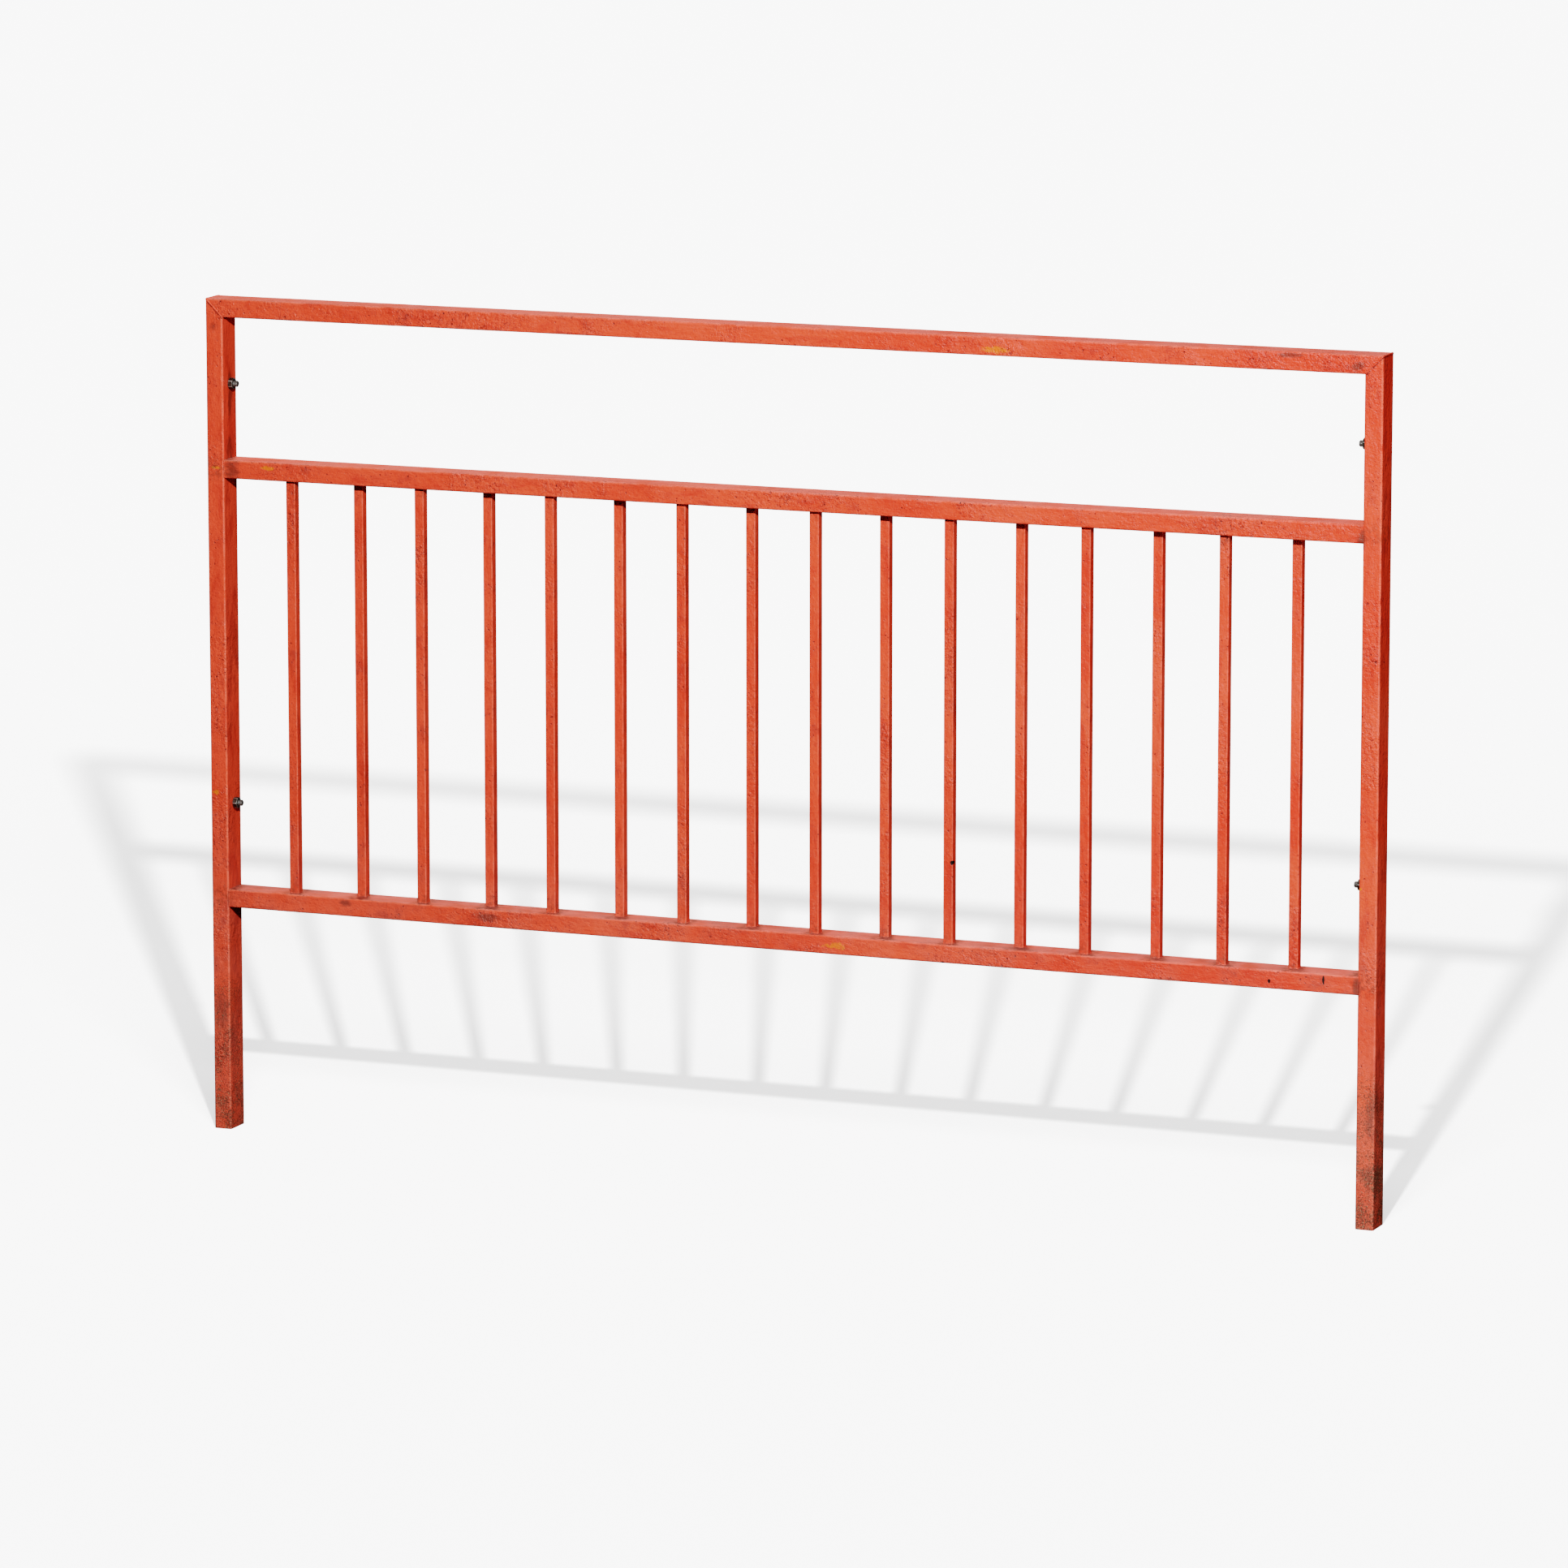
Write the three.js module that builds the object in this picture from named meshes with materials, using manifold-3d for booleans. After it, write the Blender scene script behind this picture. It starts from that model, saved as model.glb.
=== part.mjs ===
// Livestock panel: a rigid welded barrier of rectangular steel tube, with sixteen upright bars
// and four threaded studs. Millimetres, +Z up. X runs along the panel, Y through its depth.
// The origin is on the ground, in the middle of the panel's length and depth.
import * as THREE from 'three';
import { mergeVertices } from 'three/addons/utils/BufferGeometryUtils.js';
import Module from 'manifold-3d';

const wasm = await Module();
wasm.setup();

// Outer size of the panel.
const PANEL_LENGTH = 2000;
const PANEL_HEIGHT = 1370;

// Frame tube: 50 x 30 mm with 2 mm walls. The 50 mm side is the panel's depth.
const TUBE_FACE = 30;
const TUBE_DEPTH = 50;
const TUBE_WALL = 2;
const TUBE_CORNER = 2;

// Height of the upper face of the two rails that hold the bars.
const MID_RAIL_TOP = 1108;
const LOWER_RAIL_TOP = 401;

// Upright bars: 16 mm square tube, in two rows that lie either side of the rails' middle plane.
const BAR_COUNT = 16;
const BAR_SIDE = 16;
const BAR_WALL = 1.5;
const BAR_CORNER = 1.6;
const BAR_ROW_OFFSET = 7;

// M10 studs, in threaded inserts set into the inner wall of each post.
const STUD_HEIGHTS = { upper: 1230, lower: 541 };
const STUD_RADIUS = 5;
const STUD_LENGTH = 30;
const STUD_PROUD = 15;
const STUD_CHAMFER = 1;
const NUT_ACROSS_FLATS = 17;
const NUT_THICKNESS = 8;
const NUT_CHAMFER = 1;
const INSERT_RADIUS = 6.4;
const INSERT_LENGTH = 18;
const BULGE_RADIUS = 8.4;
const BULGE_LENGTH = 4.5;
const NUT_TURN_DEG = { left_upper: 27, left_lower: 0, right_upper: 20, right_lower: 8 };

// Room left between pieces that touch, and inside a thread.
const GAP = 0.3;

// Facets on round corners and round sections.
const CORNER_FACETS = 2;
const ROUND_FACETS = 24;

// Sizes that follow from the ones above.
const HALF_LENGTH = PANEL_LENGTH / 2;
const INNER_FACE_X = HALF_LENGTH - TUBE_FACE;
const RAIL_LENGTH = 2 * (INNER_FACE_X - GAP);
const BAR_PITCH = (2 * INNER_FACE_X) / (BAR_COUNT + 1);
const BAR_BOTTOM = LOWER_RAIL_TOP + GAP;
const BAR_TOP = MID_RAIL_TOP - TUBE_FACE - GAP;
const NUT_CORNER_RADIUS = NUT_ACROSS_FLATS / 2 / Math.cos(Math.PI / 6);

const SIDES = { left: -1, right: 1 };

// ---- materials ----------------------------------------------------------------------------

function redPaint() {
  return new THREE.MeshStandardMaterial({ color: 0xc8482a, roughness: 0.5, metalness: 0.0 });
}

function darkSteel() {
  return new THREE.MeshStandardMaterial({ color: 0x3a3632, roughness: 0.45, metalness: 0.9 });
}

function zincSteel() {
  return new THREE.MeshStandardMaterial({ color: 0x9a9c9e, roughness: 0.4, metalness: 0.9 });
}

// ---- turning a geometry into a solid and back ---------------------------------------------

function solidFrom(geometry) {
  const bare = geometry.clone();
  bare.deleteAttribute('normal');
  bare.deleteAttribute('uv');
  const merged = mergeVertices(bare, 1e-3);
  const mesh = new wasm.Mesh({
    numProp: 3,
    vertProperties: new Float32Array(merged.attributes.position.array),
    triVerts: new Uint32Array(merged.index.array),
  });
  return new wasm.Manifold(mesh);
}

function geometryFrom(solid) {
  const mesh = solid.getMesh();
  const geometry = new THREE.BufferGeometry();
  geometry.setAttribute('position', new THREE.BufferAttribute(mesh.vertProperties, 3));
  geometry.setIndex(new THREE.BufferAttribute(mesh.triVerts, 1));
  geometry.computeVertexNormals();
  return geometry;
}

// ---- shapes -------------------------------------------------------------------------------

// Traces a rectangle with round corners, centred on the origin.
function traceRoundedRectangle(path, width, depth, corner) {
  const x = width / 2 - corner;
  const y = depth / 2 - corner;
  const quarter = Math.PI / 2;
  path.absarc(x, y, corner, 0, quarter);
  path.absarc(-x, y, corner, quarter, 2 * quarter);
  path.absarc(-x, -y, corner, 2 * quarter, 3 * quarter);
  path.absarc(x, -y, corner, 3 * quarter, 4 * quarter);
  path.closePath();
  return path;
}

// A hollow tube along +Z from 0 to length. width lies along X and depth along Y.
function tubeGeometry(width, depth, wall, corner, length) {
  const section = traceRoundedRectangle(new THREE.Shape(), width, depth, corner);
  const bore = traceRoundedRectangle(new THREE.Path(), width - 2 * wall, depth - 2 * wall, corner / 3);
  section.holes.push(bore);
  return new THREE.ExtrudeGeometry(section, {
    depth: length,
    bevelEnabled: false,
    curveSegments: CORNER_FACETS,
  });
}

// A frame tube lying along X, centred on it.
function railGeometry(length) {
  const tube = tubeGeometry(TUBE_FACE, TUBE_DEPTH, TUBE_WALL, TUBE_CORNER, length);
  tube.translate(0, 0, -length / 2);
  tube.rotateY(Math.PI / 2);
  return tube;
}

// A block that cuts the 45 degree mitre at a top corner of the frame. toward is +1
// for the block on the rail's side of the mitre and -1 for the block on the post's side.
function mitreBlock(side, toward) {
  const size = 4 * TUBE_DEPTH;
  const block = new THREE.BoxGeometry(size, size, size);
  const normal = new THREE.Vector3(-side, 0, 1).normalize();
  const centre = new THREE.Vector3(side * HALF_LENGTH, 0, PANEL_HEIGHT);
  centre.addScaledVector(normal, toward * (size / 2 - GAP / 2));
  block.rotateY(Math.PI / 4);
  block.translate(centre.x, centre.y, centre.z);
  return solidFrom(block);
}

// A round pin along X from x = start to x = end, at the given height.
function crossPin(radius, start, end, height) {
  const pin = new THREE.CylinderGeometry(radius, radius, Math.abs(end - start), ROUND_FACETS);
  pin.rotateZ(Math.PI / 2);
  pin.translate((start + end) / 2, 0, height);
  return solidFrom(pin);
}

// ---- frame --------------------------------------------------------------------------------

// A post is a leg too: it runs from the ground to the mitre and is open at its foot.
function post(sideName) {
  const side = SIDES[sideName];
  const tube = tubeGeometry(TUBE_FACE, TUBE_DEPTH, TUBE_WALL, TUBE_CORNER, PANEL_HEIGHT);
  tube.translate(side * (HALF_LENGTH - TUBE_FACE / 2), 0, 0);
  let solid = solidFrom(tube).subtract(mitreBlock(side, 1));
  for (const height of Object.values(STUD_HEIGHTS)) {
    const holeStart = side * (INNER_FACE_X - TUBE_WALL);
    const holeEnd = side * (INNER_FACE_X + TUBE_FACE / 2);
    solid = solid.subtract(crossPin(INSERT_RADIUS + GAP, holeStart, holeEnd, height));
  }
  const mesh = new THREE.Mesh(geometryFrom(solid), redPaint());
  mesh.name = `${sideName}_post`;
  return mesh;
}

function topRail() {
  const tube = railGeometry(PANEL_LENGTH);
  tube.translate(0, 0, PANEL_HEIGHT - TUBE_FACE / 2);
  let solid = solidFrom(tube);
  for (const side of Object.values(SIDES)) {
    solid = solid.subtract(mitreBlock(side, -1));
  }
  const mesh = new THREE.Mesh(geometryFrom(solid), redPaint());
  mesh.name = 'top_rail';
  return mesh;
}

// A rail that butts against the posts' inner faces.
function buttRail(name, topHeight) {
  const mesh = new THREE.Mesh(railGeometry(RAIL_LENGTH), redPaint());
  mesh.position.z = topHeight - TUBE_FACE / 2;
  mesh.name = name;
  return mesh;
}

// ---- upright bars -------------------------------------------------------------------------

// Bars are counted from the left. Odd ones stand in the front row and even ones in the back row.
function uprightBar(number) {
  const length = BAR_TOP - BAR_BOTTOM;
  const bar = tubeGeometry(BAR_SIDE, BAR_SIDE, BAR_WALL, BAR_CORNER, length);
  const mesh = new THREE.Mesh(bar, redPaint());
  const row = number % 2 === 1 ? -1 : 1;
  mesh.position.set(number * BAR_PITCH - INNER_FACE_X, row * BAR_ROW_OFFSET, BAR_BOTTOM);
  mesh.name = `bar_${String(number).padStart(2, '0')}`;
  return mesh;
}

// ---- studs, nuts and inserts --------------------------------------------------------------
// Each is made along +Y, with y = 0 on the post's inner face and +Y pointing out of the post.

function studGeometry() {
  const inner = STUD_PROUD - STUD_LENGTH;
  const profile = [
    new THREE.Vector2(0, inner),
    new THREE.Vector2(STUD_RADIUS - STUD_CHAMFER, inner),
    new THREE.Vector2(STUD_RADIUS, inner + STUD_CHAMFER),
    new THREE.Vector2(STUD_RADIUS, STUD_PROUD - STUD_CHAMFER),
    new THREE.Vector2(STUD_RADIUS - STUD_CHAMFER, STUD_PROUD),
    new THREE.Vector2(0, STUD_PROUD),
  ];
  return new THREE.LatheGeometry(profile, ROUND_FACETS);
}

// Open-ended insert: a sleeve through the wall, with the bulge behind it that grips the wall.
function insertGeometry() {
  const bore = STUD_RADIUS + GAP;
  const bulgeStart = -TUBE_WALL - GAP;
  const bulgeEnd = bulgeStart - BULGE_LENGTH;
  const profile = [
    new THREE.Vector2(bore, 0),
    new THREE.Vector2(bore, -INSERT_LENGTH),
    new THREE.Vector2(INSERT_RADIUS, -INSERT_LENGTH),
    new THREE.Vector2(INSERT_RADIUS, bulgeEnd),
    new THREE.Vector2(BULGE_RADIUS, bulgeEnd + 1),
    new THREE.Vector2(BULGE_RADIUS, bulgeStart),
    new THREE.Vector2(INSERT_RADIUS, bulgeStart),
    new THREE.Vector2(INSERT_RADIUS, 0),
    new THREE.Vector2(bore, 0),
  ];
  return new THREE.LatheGeometry(profile, ROUND_FACETS);
}

// Hexagon prism with a bore, whose corners are chamfered at both ends by a turned blank.
function nutGeometry(turn) {
  const hexagon = new THREE.Shape();
  for (let corner = 0; corner < 6; corner += 1) {
    const angle = turn + (corner * Math.PI) / 3;
    const x = NUT_CORNER_RADIUS * Math.cos(angle);
    const y = NUT_CORNER_RADIUS * Math.sin(angle);
    if (corner === 0) {
      hexagon.moveTo(x, y);
    } else {
      hexagon.lineTo(x, y);
    }
  }
  hexagon.closePath();
  hexagon.holes.push(new THREE.Path().absarc(0, 0, STUD_RADIUS + GAP, 0, 2 * Math.PI));
  const prism = new THREE.ExtrudeGeometry(hexagon, {
    depth: NUT_THICKNESS,
    bevelEnabled: false,
    curveSegments: ROUND_FACETS,
  });
  prism.rotateX(-Math.PI / 2);
  prism.translate(0, GAP, 0);

  const faceRadius = NUT_ACROSS_FLATS / 2 - 0.2;
  const far = GAP + NUT_THICKNESS;
  const blank = new THREE.LatheGeometry([
    new THREE.Vector2(0, GAP),
    new THREE.Vector2(faceRadius, GAP),
    new THREE.Vector2(faceRadius + 2 * NUT_CHAMFER, GAP + NUT_CHAMFER),
    new THREE.Vector2(faceRadius + 2 * NUT_CHAMFER, far - NUT_CHAMFER),
    new THREE.Vector2(faceRadius, far),
    new THREE.Vector2(0, far),
  ], ROUND_FACETS);
  return geometryFrom(solidFrom(prism).intersect(solidFrom(blank)));
}

// One fastening point: the insert, its stud and the nut that locks it, placed on a post.
function fastening(sideName, levelName) {
  const place = `${sideName}_${levelName}`;
  const turn = THREE.MathUtils.degToRad(NUT_TURN_DEG[place]);
  const pieces = [
    ['insert', insertGeometry(), zincSteel()],
    ['stud', studGeometry(), darkSteel()],
    ['nut', nutGeometry(turn), darkSteel()],
  ];
  const group = new THREE.Group();
  for (const [kind, geometry, material] of pieces) {
    const mesh = new THREE.Mesh(geometry, material);
    mesh.name = `${place}_${kind}`;
    group.add(mesh);
  }
  const side = SIDES[sideName];
  group.position.set(side * INNER_FACE_X, 0, STUD_HEIGHTS[levelName]);
  group.rotation.z = (side * Math.PI) / 2;
  return group;
}

// ---- the whole panel ----------------------------------------------------------------------

const group = new THREE.Group();
group.name = 'livestock_panel';
group.add(post('left'), post('right'));
group.add(topRail());
group.add(buttRail('mid_rail', MID_RAIL_TOP));
group.add(buttRail('lower_rail', LOWER_RAIL_TOP));
for (let number = 1; number <= BAR_COUNT; number += 1) {
  group.add(uprightBar(number));
}
for (const sideName of Object.keys(SIDES)) {
  for (const levelName of Object.keys(STUD_HEIGHTS)) {
    group.add(fastening(sideName, levelName));
  }
}

export default group;
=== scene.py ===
"""A free-standing livestock panel of red painted steel tube, standing on a plain pale floor.

Lengths are in metres unless a name says otherwise. The panel runs along X, its front faces -Y and
its feet stand on Z = 0.
"""

import math

import bpy
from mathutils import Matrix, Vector, noise


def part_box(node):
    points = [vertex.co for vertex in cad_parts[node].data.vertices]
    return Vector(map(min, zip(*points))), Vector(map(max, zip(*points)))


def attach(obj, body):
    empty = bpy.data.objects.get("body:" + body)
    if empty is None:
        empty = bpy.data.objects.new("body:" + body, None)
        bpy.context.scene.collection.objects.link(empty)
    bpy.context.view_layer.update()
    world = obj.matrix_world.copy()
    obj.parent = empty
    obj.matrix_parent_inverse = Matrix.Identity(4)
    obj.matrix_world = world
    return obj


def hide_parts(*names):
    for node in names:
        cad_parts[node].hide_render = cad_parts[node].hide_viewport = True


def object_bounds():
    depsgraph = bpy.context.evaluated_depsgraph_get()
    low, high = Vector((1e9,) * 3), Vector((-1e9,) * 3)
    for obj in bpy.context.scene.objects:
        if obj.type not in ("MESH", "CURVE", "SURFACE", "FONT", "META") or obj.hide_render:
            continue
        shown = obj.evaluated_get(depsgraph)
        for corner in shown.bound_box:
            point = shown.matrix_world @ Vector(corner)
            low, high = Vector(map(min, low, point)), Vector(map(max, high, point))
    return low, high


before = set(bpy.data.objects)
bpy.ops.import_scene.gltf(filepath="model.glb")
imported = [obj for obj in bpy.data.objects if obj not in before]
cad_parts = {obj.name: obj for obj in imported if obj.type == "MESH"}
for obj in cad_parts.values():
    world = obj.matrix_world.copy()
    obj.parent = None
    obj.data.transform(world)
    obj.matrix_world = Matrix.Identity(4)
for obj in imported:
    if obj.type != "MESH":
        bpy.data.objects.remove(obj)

# ---- sizes ----------------------------------------------------------------------------------

MM = 0.001
CAD_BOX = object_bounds()
PANEL_TOP = CAD_BOX[1][2]
PANEL_END = CAD_BOX[1][0]
BAR_COUNT = 16
FIRST_BAR = (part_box("bar_01")[0].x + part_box("bar_01")[1].x) / 2
BAR_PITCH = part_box("bar_02")[0].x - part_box("bar_01")[0].x

TUBE_WALL = 2 * MM
TUBE_CORNER = 3 * MM
BAR_WALL = 1.5 * MM
BAR_CORNER = 1.6 * MM
BORE_CORNER = 1 * MM
END_BEVEL = 0.4 * MM
BEND_STEPS = 6
SHOULDER = 0.6 * MM
RING_STEP = 16 * MM
WAVE_LENGTH = 0.11
WAVE_HEIGHT = 0.12 * MM
JOINT_REACH = 0.03

THREAD_PITCH = 1.5 * MM
THREAD_DEPTH = 0.8 * MM
THREAD_COLUMNS = 48
ROWS_PER_THREAD = 8
NUT_COLUMNS = 96
NUT_FLAT = 8.5 * MM
NUT_CORNER = 1.135
NUT_LEVELS_MM = (0.0, 0.2, 0.45, 0.7, 1.0)
BORE_BEVEL = 0.7 * MM
SLEEVE_RADIUS = 6.4 * MM
SLEEVE_BORE = 5.3 * MM
SLEEVE_TAIL = 6 * MM
BULGE_LENGTH = 5.2 * MM
BULGE_STEPS = 8
NUT_TURN = {"left_upper": 27, "left_lower": 0, "right_upper": 20, "right_lower": 8}

WELD_ARC_POINTS = 14
WELD_STEP = 0.6 * MM
WELD_RIPPLE = 2.2 * MM

SIDES = {"left": -1, "right": 1}

# ---- camera and lights ----------------------------------------------------------------------

CAMERA_PLACE = (5.0654, -12.3955, 2.982)
CAMERA_TURN_DEG = 22.2279
CAMERA_DIP_DEG = 9.9388
CAMERA_LENS = 196.41
KEY_PLACE = Vector((1.886, -4.871, 3.514))
KEY_TARGET = Vector((0.0, 0.0, 0.7))
KEY_SIZE = 0.15
HALO_SIZE = 2.2
HALO_SHARE = 0.36
KEY_POWER = 505.0
FLOOR_KEY_POWER = 2800.0
FLOOR_WHITE = 1.8
FLOOR_SHADE = 1.14
FLOOR_PALEST = 0.9
FLOOR_HALF = 120.0
SKY_LIGHT = 0.02
RIGHT_FILL_PLACE = (2.4, -0.9, 0.9)
RIGHT_FILL_TARGET = (1.0, 0.0, 0.7)
BACK_FILL_PLACE = (-3.0, 5.5, 6.0)
BACK_FILL_TARGET = (0.0, 0.0, 0.9)

# How the film answers to light: light in, then brightness out, both linear.
FILM_WHITE = 2.0
FILM_CURVE = (
    (0.015, 0.0044), (0.022, 0.0115), (0.029, 0.0200), (0.044, 0.0420), (0.070, 0.088),
    (0.100, 0.147), (0.200, 0.285), (0.300, 0.400), (0.440, 0.521), (0.690, 0.680),
    (0.930, 0.755), (1.300, 0.840), (1.800, 0.930), (2.000, 0.960),
)


# ---- finishes -------------------------------------------------------------------------------

class Reading:
    """What one socket gives over a surface. Arithmetic between readings adds Math nodes."""

    def __init__(self, finish, socket):
        self.finish = finish
        self.socket = socket

    def sum(self, operation, *terms):
        return self.finish.node("ShaderNodeMath", {"operation": operation}, dict(enumerate(terms)))

    def __add__(self, other):
        return self.sum("ADD", self, other)

    __radd__ = __add__

    def __sub__(self, other):
        return self.sum("SUBTRACT", self, other)

    def __rsub__(self, other):
        return self.sum("SUBTRACT", other, self)

    def __mul__(self, other):
        return self.sum("MULTIPLY", self, other)

    __rmul__ = __mul__

    def __truediv__(self, other):
        return self.sum("DIVIDE", self, other)

    def __rtruediv__(self, other):
        return self.sum("DIVIDE", other, self)

    def __pow__(self, other):
        return self.sum("POWER", self, other)

    def __abs__(self):
        return self.sum("ABSOLUTE", self)

    def no_more_than(self, other):
        return self.sum("MINIMUM", self, other)

    def at_least(self, other):
        return self.sum("MAXIMUM", self, other)


class Finish:
    """One finish, built up node by node."""

    def __init__(self, name):
        self.material = bpy.data.materials.new(name)
        self.material.use_nodes = True
        self.tree = self.material.node_tree
        self.tree.nodes.clear()
        self.place = self.node("ShaderNodeTexCoord", output="Object")
        self.x, self.y, self.z = self.parts(self.place)

    def node(self, kind, settings=None, sockets=None, output=0):
        """Adds a node, sets it up, feeds its sockets and gives one of its outputs."""
        node = self.tree.nodes.new(kind)
        for name, value in (settings or {}).items():
            setattr(node, name, value)
        for key, value in (sockets or {}).items():
            if isinstance(value, Reading):
                self.tree.links.new(value.socket, node.inputs[key])
            else:
                node.inputs[key].default_value = value
        return Reading(self, node.outputs[output])

    def parts(self, vector):
        first = self.node("ShaderNodeSeparateXYZ", sockets={0: vector})
        outputs = first.socket.node.outputs
        return tuple(Reading(self, outputs[axis]) for axis in range(3))

    def dot(self, first, second):
        settings = {"operation": "DOT_PRODUCT"}
        return self.node("ShaderNodeVectorMath", settings, {0: first, 1: second}, output="Value")

    def moved(self, stretch, turn_deg=(0, 0, 0), shift=(0, 0, 0)):
        """The surface's own coordinates, turned, stretched and shifted."""
        turn = tuple(math.radians(angle) for angle in turn_deg)
        sockets = {"Vector": self.place, "Location": shift, "Rotation": turn, "Scale": stretch}
        return self.node("ShaderNodeMapping", {}, sockets)

    def cloud(self, lump, detail=2.0, roughness=0.5, distortion=0.0, place=None):
        """Soft noise from 0 to 1 with lumps of the given size."""
        sockets = {
            "Vector": place or self.place,
            "Scale": 1 / lump,
            "Detail": detail,
            "Roughness": roughness,
            "Distortion": distortion,
        }
        return self.node("ShaderNodeTexNoise", {}, sockets)

    def shaken(self, lump, reach):
        """The surface's own coordinates, pushed about at random so that round spots turn ragged."""
        sockets = {"Vector": self.place, "Scale": 1 / lump, "Detail": 1.0}
        push = self.node("ShaderNodeTexNoise", {}, sockets, output="Color")
        centred = self.node("ShaderNodeVectorMath", {"operation": "SUBTRACT"}, {0: push, 1: (0.5, 0.5, 0.5)})
        scaled = self.node("ShaderNodeVectorMath", {"operation": "SCALE"}, {0: centred, "Scale": reach * 2})
        return self.node("ShaderNodeVectorMath", {"operation": "ADD"}, {0: self.place, 1: scaled})

    def specks(self, spacing, place=None):
        """Distance to scattered points, in spacings, and a number that is random for each."""
        sockets = {"Vector": place or self.place, "Scale": 1 / spacing, "Randomness": 1.0}
        distance = self.node("ShaderNodeTexVoronoi", {}, sockets)
        colour = Reading(self, distance.socket.node.outputs["Color"])
        return distance, self.parts(colour)[0]

    def fade(self, reading, low, high, bottom=0.0, top=1.0):
        """Goes smoothly from bottom to top as the reading goes from low to high."""
        settings = {"interpolation_type": "SMOOTHSTEP"}
        return self.node("ShaderNodeMapRange", settings, {0: reading, 1: low, 2: high, 3: bottom, 4: top})

    def blend(self, amount, under, over):
        """A colour that goes from under to over with the amount."""
        sockets = {0: amount, 6: under, 7: over}
        return self.node("ShaderNodeMix", {"data_type": "RGBA"}, sockets, output=2)

    def patch(self, centre, reach):
        """1 in the middle of an oval blot and 0 outside it."""
        away = self.node("ShaderNodeVectorMath", {"operation": "SUBTRACT"}, {0: self.place, 1: centre})
        scaled = self.node("ShaderNodeVectorMath", {"operation": "DIVIDE"}, {0: away, 1: reach})
        length = self.node("ShaderNodeVectorMath", {"operation": "LENGTH"}, {0: scaled}, output="Value")
        return self.fade(length, 0.0, 1.0, 1.0, 0.0)

    def worn(self, name):
        """A number kept on the mesh's own points."""
        return self.node("ShaderNodeAttribute", {"attribute_name": name}, output="Fac")

    def relief(self, height_mm):
        """Bumps from a height in millimetres."""
        sockets = {"Strength": 1.0, "Distance": MM, "Height": height_mm}
        return self.node("ShaderNodeBump", {}, sockets, output="Normal")

    def coat(self, colour, roughness, normal, metal=0.0):
        """Closes the finish with its surface shader."""
        sockets = {
            "Base Color": colour,
            "Roughness": roughness,
            "Metallic": metal,
            "Specular IOR Level": SHINE,
            "Normal": normal,
        }
        shader = self.node("ShaderNodeBsdfPrincipled", {}, sockets)
        self.node_to_surface(shader)

    def node_to_surface(self, shader):
        output = self.tree.nodes.new("ShaderNodeOutputMaterial")
        self.tree.links.new(shader.socket, output.inputs["Surface"])


RED = (0.60, 0.040, 0.017, 1)
LEFT_END_RED = (0.62, 0.057, 0.026, 1)
PALE_RED = (0.67, 0.068, 0.033, 1)
DEEP_RED = (0.42, 0.026, 0.012, 1)
STAIN_AND_SHADE_RED = (0.27, 0.022, 0.013, 1)
PALE_EDGE_WEAR_AND_HIGHLIGHT = (0.74, 0.13, 0.085, 1)
DARK_PIT_AND_SHADE = (0.10, 0.012, 0.007, 1)
BARE_CHIP = (0.012, 0.007, 0.006, 1)
OCHRE = (0.66, 0.18, 0.012, 1)
DUST_AND_SHEEN = (0.50, 0.30, 0.26, 1)
MUD_AND_SHADE = (0.068, 0.026, 0.014, 1)
MUD_FILM_AND_SHADE = (0.45, 0.078, 0.046, 1)
PALE_MUD = (0.30, 0.19, 0.12, 1)
GRIME = (0.095, 0.020, 0.012, 1)
BEAD_SHADE_OFFSET = 2.6 * MM
SHINE = 0.4

# Where the older ochre coat shows: middle of the blot and its half sizes.
OCHRE_PATCHES = (
    ((0.364, -0.025, 1.350), (0.050, 0.02, 0.012)),
    ((0.097, -0.025, 0.385), (0.042, 0.02, 0.012)),
    ((-0.991, -0.025, 0.561), (0.012, 0.02, 0.011)),
    ((-0.985, -0.025, 1.095), (0.022, 0.02, 0.005)),
    ((-0.893, -0.025, 1.098), (0.026, 0.02, 0.009)),
    ((0.972, -0.025, 0.539), (0.006, 0.02, 0.006)),
)
# Where dirt has stuck to the paint.
GRIMY_PLACES = (
    ((0.991, -0.015, 0.085), (0.030, 0.06, 0.050)),
    ((0.994, -0.015, 0.190), (0.018, 0.06, 0.080)),
    ((-0.986, -0.015, 0.200), (0.030, 0.06, 0.060)),
    ((-0.986, -0.025, 1.325), (0.016, 0.02, 0.020)),
    ((-0.970, 0.000, 1.120), (0.006, 0.03, 0.050)),
    ((-0.955, -0.025, 1.090), (0.024, 0.01, 0.034)),
    ((-0.970, 0.000, 1.215), (0.006, 0.02, 0.090)),
    ((-0.507, -0.025, 0.388), (0.045, 0.02, 0.012)),
    ((-0.760, -0.025, 0.392), (0.020, 0.02, 0.010)),
    ((0.968, -0.025, 1.085), (0.012, 0.02, 0.034)),
    ((0.968, -0.025, 0.385), (0.014, 0.02, 0.034)),
    ((0.851, -0.025, 1.364), (0.040, 0.02, 0.007)),
    ((0.958, -0.025, 1.352), (0.026, 0.02, 0.016)),
)
# Where paint has chipped off down to dark steel.
CHIPS = (
    ((0.825, -0.025, 0.383), (0.0045, 0.02, 0.007)),
    ((0.914, -0.025, 0.391), (0.0040, 0.02, 0.014)),
    ((0.292, -0.016, 0.531), (0.0060, 0.02, 0.007)),
)
# Where the paint is roughest.
ROUGH_PLACES = (
    ((0.950, -0.025, 1.355), (0.110, 0.10, 0.10)),
    ((0.800, -0.025, 1.350), (0.090, 0.10, 0.05)),
    ((0.003, -0.025, 1.110), (0.150, 0.10, 0.05)),
    ((-0.507, -0.025, 0.390), (0.110, 0.10, 0.05)),
    ((-0.985, -0.025, 0.330), (0.060, 0.10, 0.07)),
)


def most(readings):
    """The highest of several readings."""
    highest = readings[0]
    for reading in readings[1:]:
        highest = highest.at_least(reading)
    return highest


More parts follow.
